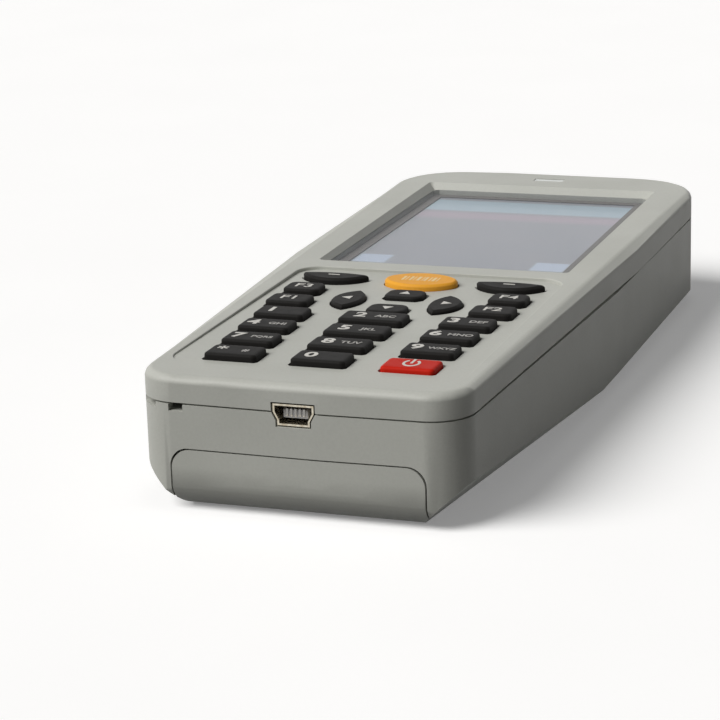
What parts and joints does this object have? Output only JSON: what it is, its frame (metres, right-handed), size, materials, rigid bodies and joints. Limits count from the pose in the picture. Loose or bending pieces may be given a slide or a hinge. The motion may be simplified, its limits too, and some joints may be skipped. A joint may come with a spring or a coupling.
{
  "type": "portable barcode data terminal",
  "caption": "Handheld data terminal with a keypad, a portrait display, a scan window in its head, a mini-USB socket in its end and a sliding battery door.",
  "frame": {"origin": "middle of the footprint on the surface that the back rests on", "axes": "+X to the right seen from the front, +Y from the socket end to the scanning head, +Z out of the screen"},
  "size_m": [0.0718, 0.1818, 0.0266],
  "materials": {
    "housing_grey": "fine satin texture",
    "key_black": "satin",
    "key_red": "satin",
    "key_yellow": "satin",
    "lens_clear": "polished",
    "display_glass": "polished",
    "foam_black": "matt",
    "tray_metal": "brushed",
    "board_nylon": "matt",
    "mat_rubber": "matt",
    "board_green": "satin",
    "pack_black": "satin",
    "contact_gold": "polished",
    "socket_nickel": "bright",
    "socket_plastic": "matt",
    "scan_red": "polished",
    "engine_black": "matt",
    "light_white": "gloss",
    "screw_steel": "plated"
  },
  "bodies": {
    "terminal": {"front_housing": "housing_grey", "rear_housing": "housing_grey", "battery_pack": "pack_black", "battery_contacts": "contact_gold", "display_lens": "lens_clear", "lens_gasket": "foam_black", "lcd_panel": "display_glass", "display_tray": "tray_metal", "tray_spacers": "board_nylon", "keypad_mat": "mat_rubber", "keypad_board": "board_green", "board_link": "board_nylon", "main_board": "board_green", "shield_can": "tray_metal", "backup_cell": "tray_metal", "socket_shell": "socket_nickel", "socket_insert": "socket_plastic", "socket_contacts": "contact_gold", "scan_window": "scan_red", "scan_engine": "engine_black", "scan_engine_lenses": "lens_clear", "speaker": "engine_black", "status_light": "light_white", "housing_screws": "screw_steel"},
    "battery_door": {"battery_door": "housing_grey"},
    "key_star": {"key_star": "key_black"},
    "key_zero": {"key_zero": "key_black"},
    "key_power": {"key_power": "key_red"},
    "key_seven": {"key_seven": "key_black"},
    "key_eight": {"key_eight": "key_black"},
    "key_nine": {"key_nine": "key_black"},
    "key_four": {"key_four": "key_black"},
    "key_five": {"key_five": "key_black"},
    "key_six": {"key_six": "key_black"},
    "key_one": {"key_one": "key_black"},
    "key_two": {"key_two": "key_black"},
    "key_three": {"key_three": "key_black"},
    "key_left_function": {"key_left_function": "key_black"},
    "key_left_option": {"key_left_option": "key_black"},
    "key_left_arrow": {"key_left_arrow": "key_black"},
    "key_left_soft": {"key_left_soft": "key_black"},
    "key_right_function": {"key_right_function": "key_black"},
    "key_right_option": {"key_right_option": "key_black"},
    "key_right_arrow": {"key_right_arrow": "key_black"},
    "key_right_soft": {"key_right_soft": "key_black"},
    "key_down_arrow": {"key_down_arrow": "key_black"},
    "key_up_arrow": {"key_up_arrow": "key_black"},
    "key_scan": {"key_scan": "key_yellow"}
  },
  "joints": [
    {"name": "battery_door_slide", "type": "slide", "parent": "terminal", "child": "battery_door", "axis": [0, -1, 0], "range_m": [0, 0.085]},
    {"name": "key_star_press", "type": "slide", "parent": "terminal", "child": "key_star", "axis": [0, 0, -1], "range_m": [0, 0.0007], "stiffness_N_per_m": 400},
    {"name": "key_zero_press", "type": "slide", "parent": "terminal", "child": "key_zero", "axis": [0, 0, -1], "range_m": [0, 0.0007], "stiffness_N_per_m": 400},
    {"name": "key_power_press", "type": "slide", "parent": "terminal", "child": "key_power", "axis": [0, 0, -1], "range_m": [0, 0.0007], "stiffness_N_per_m": 400},
    {"name": "key_seven_press", "type": "slide", "parent": "terminal", "child": "key_seven", "axis": [0, 0, -1], "range_m": [0, 0.0007], "stiffness_N_per_m": 400},
    {"name": "key_eight_press", "type": "slide", "parent": "terminal", "child": "key_eight", "axis": [0, 0, -1], "range_m": [0, 0.0007], "stiffness_N_per_m": 400},
    {"name": "key_nine_press", "type": "slide", "parent": "terminal", "child": "key_nine", "axis": [0, 0, -1], "range_m": [0, 0.0007], "stiffness_N_per_m": 400},
    {"name": "key_four_press", "type": "slide", "parent": "terminal", "child": "key_four", "axis": [0, 0, -1], "range_m": [0, 0.0007], "stiffness_N_per_m": 400},
    {"name": "key_five_press", "type": "slide", "parent": "terminal", "child": "key_five", "axis": [0, 0, -1], "range_m": [0, 0.0007], "stiffness_N_per_m": 400},
    {"name": "key_six_press", "type": "slide", "parent": "terminal", "child": "key_six", "axis": [0, 0, -1], "range_m": [0, 0.0007], "stiffness_N_per_m": 400},
    {"name": "key_one_press", "type": "slide", "parent": "terminal", "child": "key_one", "axis": [0, 0, -1], "range_m": [0, 0.0007], "stiffness_N_per_m": 400},
    {"name": "key_two_press", "type": "slide", "parent": "terminal", "child": "key_two", "axis": [0, 0, -1], "range_m": [0, 0.0007], "stiffness_N_per_m": 400},
    {"name": "key_three_press", "type": "slide", "parent": "terminal", "child": "key_three", "axis": [0, 0, -1], "range_m": [0, 0.0007], "stiffness_N_per_m": 400},
    {"name": "key_left_function_press", "type": "slide", "parent": "terminal", "child": "key_left_function", "axis": [0, 0, -1], "range_m": [0, 0.0007], "stiffness_N_per_m": 400},
    {"name": "key_left_option_press", "type": "slide", "parent": "terminal", "child": "key_left_option", "axis": [0, 0, -1], "range_m": [0, 0.0007], "stiffness_N_per_m": 400},
    {"name": "key_left_arrow_press", "type": "slide", "parent": "terminal", "child": "key_left_arrow", "axis": [0, 0, -1], "range_m": [0, 0.0007], "stiffness_N_per_m": 400},
    {"name": "key_left_soft_press", "type": "slide", "parent": "terminal", "child": "key_left_soft", "axis": [0, 0, -1], "range_m": [0, 0.0007], "stiffness_N_per_m": 400},
    {"name": "key_right_function_press", "type": "slide", "parent": "terminal", "child": "key_right_function", "axis": [0, 0, -1], "range_m": [0, 0.0007], "stiffness_N_per_m": 400},
    {"name": "key_right_option_press", "type": "slide", "parent": "terminal", "child": "key_right_option", "axis": [0, 0, -1], "range_m": [0, 0.0007], "stiffness_N_per_m": 400},
    {"name": "key_right_arrow_press", "type": "slide", "parent": "terminal", "child": "key_right_arrow", "axis": [0, 0, -1], "range_m": [0, 0.0007], "stiffness_N_per_m": 400},
    {"name": "key_right_soft_press", "type": "slide", "parent": "terminal", "child": "key_right_soft", "axis": [0, 0, -1], "range_m": [0, 0.0007], "stiffness_N_per_m": 400},
    {"name": "key_down_arrow_press", "type": "slide", "parent": "terminal", "child": "key_down_arrow", "axis": [0, 0, -1], "range_m": [0, 0.0007], "stiffness_N_per_m": 400},
    {"name": "key_up_arrow_press", "type": "slide", "parent": "terminal", "child": "key_up_arrow", "axis": [0, 0, -1], "range_m": [0, 0.0007], "stiffness_N_per_m": 400},
    {"name": "key_scan_press", "type": "slide", "parent": "terminal", "child": "key_scan", "axis": [0, 0, -1], "range_m": [0, 0.0007], "stiffness_N_per_m": 400}
  ]
}
